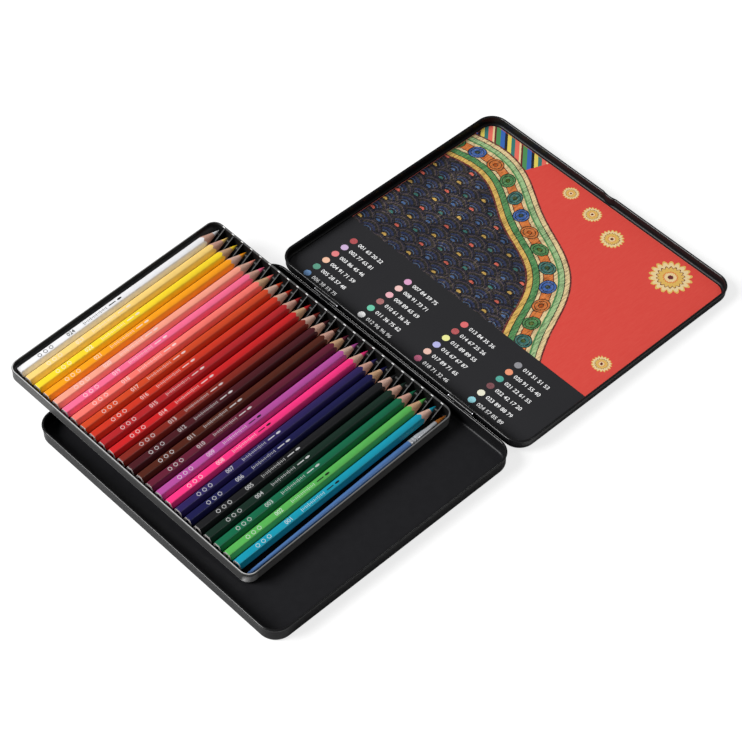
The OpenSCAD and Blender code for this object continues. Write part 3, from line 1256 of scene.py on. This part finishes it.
# The legend's dots in hundredths, a line for each column, from the picture towards the hinge
DOT_COLOURS = (
    ((66, 20, 22), (78, 66, 82), (87, 45, 46), (92, 72, 60), (28, 58, 48), (38, 56, 76)),
    ((85, 60, 76), (92, 74, 72), (90, 66, 70), (62, 36, 36), (36, 76, 63), (97, 97, 97)),
    ((85, 35, 36), (68, 25, 26), (90, 90, 56), (68, 68, 88), (90, 72, 66), (72, 32, 46)),
    ((52, 52, 54), (92, 56, 40), (22, 62, 56), (42, 17, 20), (90, 89, 80), (58, 86, 90)),
)


@dataclass
class Card:
    """The printed card and its legend: coloured dots with figures, in the lid's frame."""

    bench: Bench
    columns: tuple[float, ...] = (93.0, 41.0, -11.8, -60.8)
    first_row: float = 53.0
    row_step: float = 8.55
    slant: float = 0.0148
    dot_r: float = 2.65
    label_gap: float = 4.9
    label_h: float = 3.0
    end_band: float = 0.0008  # metres

    def __post_init__(self) -> None:
        """Finds the lid's frame and the card's height, and places the dots."""
        points = self.bench.points("lid_card")
        side = self.bench.axis("lid_hinge")
        run = end_centre(points, RIGHT, self.end_band) - end_centre(points, -RIGHT, self.end_band)
        run.y = 0
        x = run.normalized()
        self.frame = LocalFrame(self.bench.hinge, x, side, x.cross(side))
        self.top = max(self.frame.local(point).z for point in points) - PRINT_SINK
        self.spots = [
            (self.spot(y, row), tuple(part / 100 for part in colour))
            for y, column in zip(self.columns, DOT_COLOURS)
            for row, colour in enumerate(column)
        ]

    def spot(self, y: float, row: int) -> Vector:
        """The place of the dot in a row of the column at y."""
        x = self.first_row + (self.columns[0] - y) * self.slant - row * self.row_step
        return Vector((x, y, self.top))

    def paint(self, graph: Graph, place: Socket) -> Socket:
        """The printed colour at a place."""
        return CardArt(graph, place).colour()

    def dots(self) -> None:
        """Builds the dots with Geometry Nodes, each in its own colour."""
        mesh = bpy.data.meshes.new("legend_dots")
        mesh.from_pydata([place for place, _ in self.spots], [], [])
        tints = mesh.attributes.new("dot_tint", "FLOAT_COLOR", "POINT")
        for item, (_, colour) in zip(tints.data, self.spots):
            item.color = (*linear(colour), 1)
        rig = NodeRig("legend_dots", {"Dot radius": self.dot_r, "Thickness": PRINT_THICKNESS}, mesh)
        disc = {"Vertices": 28, "Radius": rig.given["Dot radius"], "Depth": rig.given["Thickness"]}
        disc = rig.graph.node("GeometryNodeMeshCylinder", disc, fill_type="NGON")

        def paint(graph: Graph, place: Socket) -> Socket:
            """Chalks each dot in its own colour.

            Args:
                graph: The material's nodes.
                place: The place on the dot.

            Returns:
                The colour.
            """
            tint = graph.node("ShaderNodeAttribute", attribute_name="dot_tint").outputs["Color"]
            chalk = graph.noise(place, 1.4, 4, 0.7)
            return graph.mix((chalk - 0.3) * 0.8, tint, graph.mix(0.35, tint, Ink.WHITE.rgb))

        solid = rig.strew(rig.given["Geometry"], disc)
        ink = self.bench.maker.surface("dot_ink", CARD, paint)
        self.bench.keep(rig.bake(solid, self.frame, ink), "lid")

    def labels(self) -> None:
        """Builds the white figures: each dot's number and its shares of red, green and blue."""
        shell = Shell()
        quarter = Matrix.Rotation(-math.pi / 2, 4, "Z")
        aside = Vector((0, self.label_gap, 0))
        for i, (place, colour) in enumerate(self.spots, 1):
            shares = " ".join(f"{round(99 * part):02d}" for part in colour)
            line = figures(f"{i:03d} {shares}", self.label_h, False)
            shell.add_mesh(line, Matrix.Translation(place - aside) @ quarter)
        ink = self.bench.maker.plain("label_ink", CARD, Ink.WHITE.rgb, 0.05)
        self.bench.keep(shell.build("legend_labels", self.frame, ink), "lid")

    def build(self) -> None:
        """Prints the card and lays the legend on it."""
        design = self.bench.maker.surface("card_print", CARD, self.paint, self.frame)
        self.bench.dress("lid_card", design)
        self.dots()
        self.labels()


# ---------- Studio ----------


@dataclass(frozen=True)
class Studio:
    """The plain pale set: floor, sky, a large soft light, a small one, and the camera."""

    eye: Point3 = (-0.66777, -0.79264, 1.31425)
    view: Point3 = (0.44134, 0.46461, -0.76770)
    lens: float = 126.76
    sensor: float = 36.0
    picture: tuple[int, int] = (742, 746)
    sky_power: float = 0.21
    lamps: tuple[tuple[str, Point3, float, float], ...] = (  # name, place, side in metres, watts
        ("key", (-1.9, 1.15, 1.75), 1.5, 128.0), ("kick", (0.9, -0.95, 1.6), 0.3, 2.5),
    )
    floor_pale: float = 0.8
    floor_shade: float = 0.3
    floor_glow: float = 0.76
    floor_size: float = 12.0

    def build_floor(self) -> None:
        """Lays a floor that the camera sees as white with the object's soft shadow on it."""
        half = self.floor_size / 2
        corners = [(x * half, y * half, 0) for x, y in ((-1, -1), (1, -1), (1, 1), (-1, 1))]
        mesh = bpy.data.meshes.new("floor")
        mesh.from_pydata(corners, [], [(0, 1, 2, 3)])
        floor = link("floor", mesh)
        material = bpy.data.materials.new("floor")
        graph = Graph.fresh(material)
        pale = graph.node("ShaderNodeBsdfDiffuse", {"Color": grey(self.floor_pale)})
        shade = graph.node("ShaderNodeBsdfDiffuse", {"Color": grey(self.floor_shade)})
        glow = graph.node("ShaderNodeEmission", {"Color": grey(1.0), "Strength": self.floor_glow})
        seen = graph.node("ShaderNodeLightPath").outputs["Is Camera Ray"]
        both = graph.node("ShaderNodeAddShader", {0: shade.outputs[0], 1: glow.outputs[0]})
        chosen = {0: seen, 1: pale.outputs[0], 2: both.outputs[0]}
        chosen = graph.node("ShaderNodeMixShader", chosen)
        graph.node("ShaderNodeOutputMaterial", {"Surface": chosen.outputs[0]})
        mesh.materials.append(material)

    def build_sky(self) -> None:
        """Lights everything dimly and evenly, and shows white to the camera."""
        world = bpy.data.worlds.new("studio")
        bpy.context.scene.world = world
        graph = Graph.fresh(world)
        seen = Number(graph, graph.node("ShaderNodeLightPath").outputs["Is Camera Ray"])
        strength = seen * (1 - self.sky_power) + self.sky_power
        light = graph.node("ShaderNodeBackground", {"Color": grey(1.0), "Strength": strength})
        graph.node("ShaderNodeOutputWorld", {"Surface": light.outputs[0]})

    def aim(self, name: str, data: bpy.types.ID, place: Point3, view: Vector) -> Thing:
        """Puts a light or camera into the scene.

        Args:
            name: Its name.
            data: The light or camera.
            place: Where it stands, in metres.
            view: The direction that it faces.

        Returns:
            The object.
        """
        thing = link(name, data)
        thing.location = place
        thing.rotation_euler = view.to_track_quat("-Z", "Y").to_euler()
        return thing

    def build_lamps(self) -> None:
        """Hangs the lights."""
        for name, place, side, watts in self.lamps:
            data = bpy.data.lights.new(name, "AREA")
            data.energy = watts
            data.size = side
            self.aim(name, data, place, -Vector(place))

    def build_camera(self) -> None:
        """Sets the camera and the picture."""
        data = bpy.data.cameras.new("camera")
        data.lens = self.lens
        data.sensor_width = self.sensor
        data.clip_end = 20
        scene = bpy.context.scene
        scene.camera = self.aim("camera", data, self.eye, Vector(self.view))
        scene.render.resolution_x, scene.render.resolution_y = self.picture
        scene.view_settings.view_transform = "Standard"

    def build(self) -> None:
        """Sets up everything round the tin."""
        self.build_floor()
        self.build_sky()
        self.build_lamps()
        self.build_camera()


# ---------- Tin, tray and pins ----------


@dataclass
class Tray:
    """The tray's plastic: dark between the pencils, and paler on its outer walls as painted light.
    """

    bench: Bench
    corner: float = 7.5
    skin: float = 1.0
    rim_highlight_to: float = 0.5
    glint: Point2 = (1.4, 0.8)
    glint_half: float = 1.0

    def __post_init__(self) -> None:
        """Measures the tray in its first pencil's frame. The floor rises along y by slope."""
        self.frame = self.bench.lie("pencil_lead_01", "pencil_lead_01", "tray_lift")
        spots = [self.frame.local(point) for point in self.bench.points("pencil_tray")]
        xs, ys = [spot.x for spot in spots], [spot.y for spot in spots]
        self.left, self.right, self.near, self.far = min(xs), max(xs), min(ys), max(ys)
        neighbour = self.frame.local(end_centre(self.bench.points("pencil_lead_02"), -RIGHT))
        self.pitch, self.slope = neighbour.y, neighbour.z / neighbour.y
        self.top = max(spot.z - spot.y * self.slope for spot in spots)

    def paint(self, graph: Graph, place: Socket) -> Socket:
        """Draws the walls with their painted light, a painted highlight line on the blunt side's
        rim and painted glints at the ribs' ends.

        Args:
            graph: The material's nodes.
            place: The place in the tray's frame.

        Returns:
            The colour.
        """
        x, y, z = graph.parts(place)
        beyond_x, beyond_y = (
            (way - (low + high) / 2).size() - ((high - low) / 2 - self.corner)
            for way, low, high in ((x, self.left, self.right), (y, self.near, self.far))
        )
        edge = length2(beyond_x.at_least(0.0), beyond_y.at_least(0.0)) - self.corner
        blunt_side = (self.left + self.corner - x).above(0, 4) * 0.85 + 0.15
        from_rib = ((y / self.pitch).fract() - 0.5).size() * self.pitch
        tip_rim = (x - (self.right - 2)).above(0, 0.5)
        tip_rim = tip_rim * (z - y * self.slope - self.top).above(-0.5, 0.2)
        outer, inner = self.glint
        glint = tip_rim * edge.above(-outer, 0.1) * (1 - edge.above(-inner, 0.1))
        glint = glint * (1 - from_rib.above(self.glint_half, 0.3))
        # Painted highlight: a pale line along the rim, full on the blunt side and faint elsewhere.
        line = edge.above(-self.skin, 0.1) * (1 - edge.above(-self.rim_highlight_to, 0.1)) * blunt_side
        cloud = graph.mix(graph.cloud(place), grey(0.003), grey(0.0045))
        # Painted light: the outer walls are paler than the inside, and the long walls paler than
        # the ends.
        painted_wall_light = graph.mix((beyond_y - beyond_x).above(0, 4), grey(0.05), grey(0.12))
        skin = graph.mix(edge.above(-self.skin, 0.3), cloud, painted_wall_light)
        return graph.mix(glint, graph.mix(line, skin, grey(0.5)), grey(0.6))

    def build(self) -> None:
        """Dresses the tray."""
        plastic = self.bench.maker.surface("tray_plastic", PLASTIC, self.paint, self.frame)
        self.bench.dress("pencil_tray", plastic)


@dataclass
class Metalwork:
    """The tin's two pans, which stay CAD solids, and the hinge pins."""

    bench: Bench
    hinge_zone: float = 0.03  # metres beside the hinge that its curls take up
    rim_depth: float = 1.3  # millimetres below a pan's top where its polish begins

    def enamel(self, graph: Graph, place: Socket) -> Socket:
        """Makes black paint that is a little paler on the tin's floor than on its walls, the walls
        darkened as painted shade.

        Args:
            graph: The material's nodes.
            place: The place in the scene.

        Returns:
            The colour.
        """
        # Painted shade: above the tin's floor the paint is darkened.
        wall = graph.parts(place)[2].above(1.5, 1)
        cloud = graph.cloud(place) * 0.4 + 0.8
        shade = (1 - wall * 0.55) * cloud * 0.0125
        shades = {0: shade, 1: shade, 2: shade * 1.12}
        return graph.node("ShaderNodeCombineColor", shades).outputs[0]

    def build(self) -> None:
        """Dresses the pans and the pins."""
        bench, maker, hinge_x = self.bench, self.bench.maker, self.bench.hinge.x
        for node in ("tin_base", "tin_lid"):
            aside = (p.z for p in bench.points(node) if abs(p.x - hinge_x) > self.hinge_zone)
            polish = max(aside) / MM - self.rim_depth
            black = maker.surface(f"{node}_black", ENAMEL, self.enamel, None, polish)
            bench.dress(node, black)
        steel = maker.plain("hinge_steel", STEEL, bench.colours["hinge_pin_near"])
        for node in ("hinge_pin_near", "hinge_pin_far"):
            bench.dress(node, steel)


def main() -> None:
    """Builds the scene."""
    logging.basicConfig(level=logging.INFO, format="%(name)s: %(message)s")
    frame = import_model()
    bench = Bench(frame)
    pencils = [Pencil(bench, number) for number in range(1, PENCILS + 1)]
    for piece in (Metalwork(bench), Tray(bench), Card(bench), *pencils, Brush(bench), Studio()):
        piece.build()


if __name__ == "__main__":
    main()
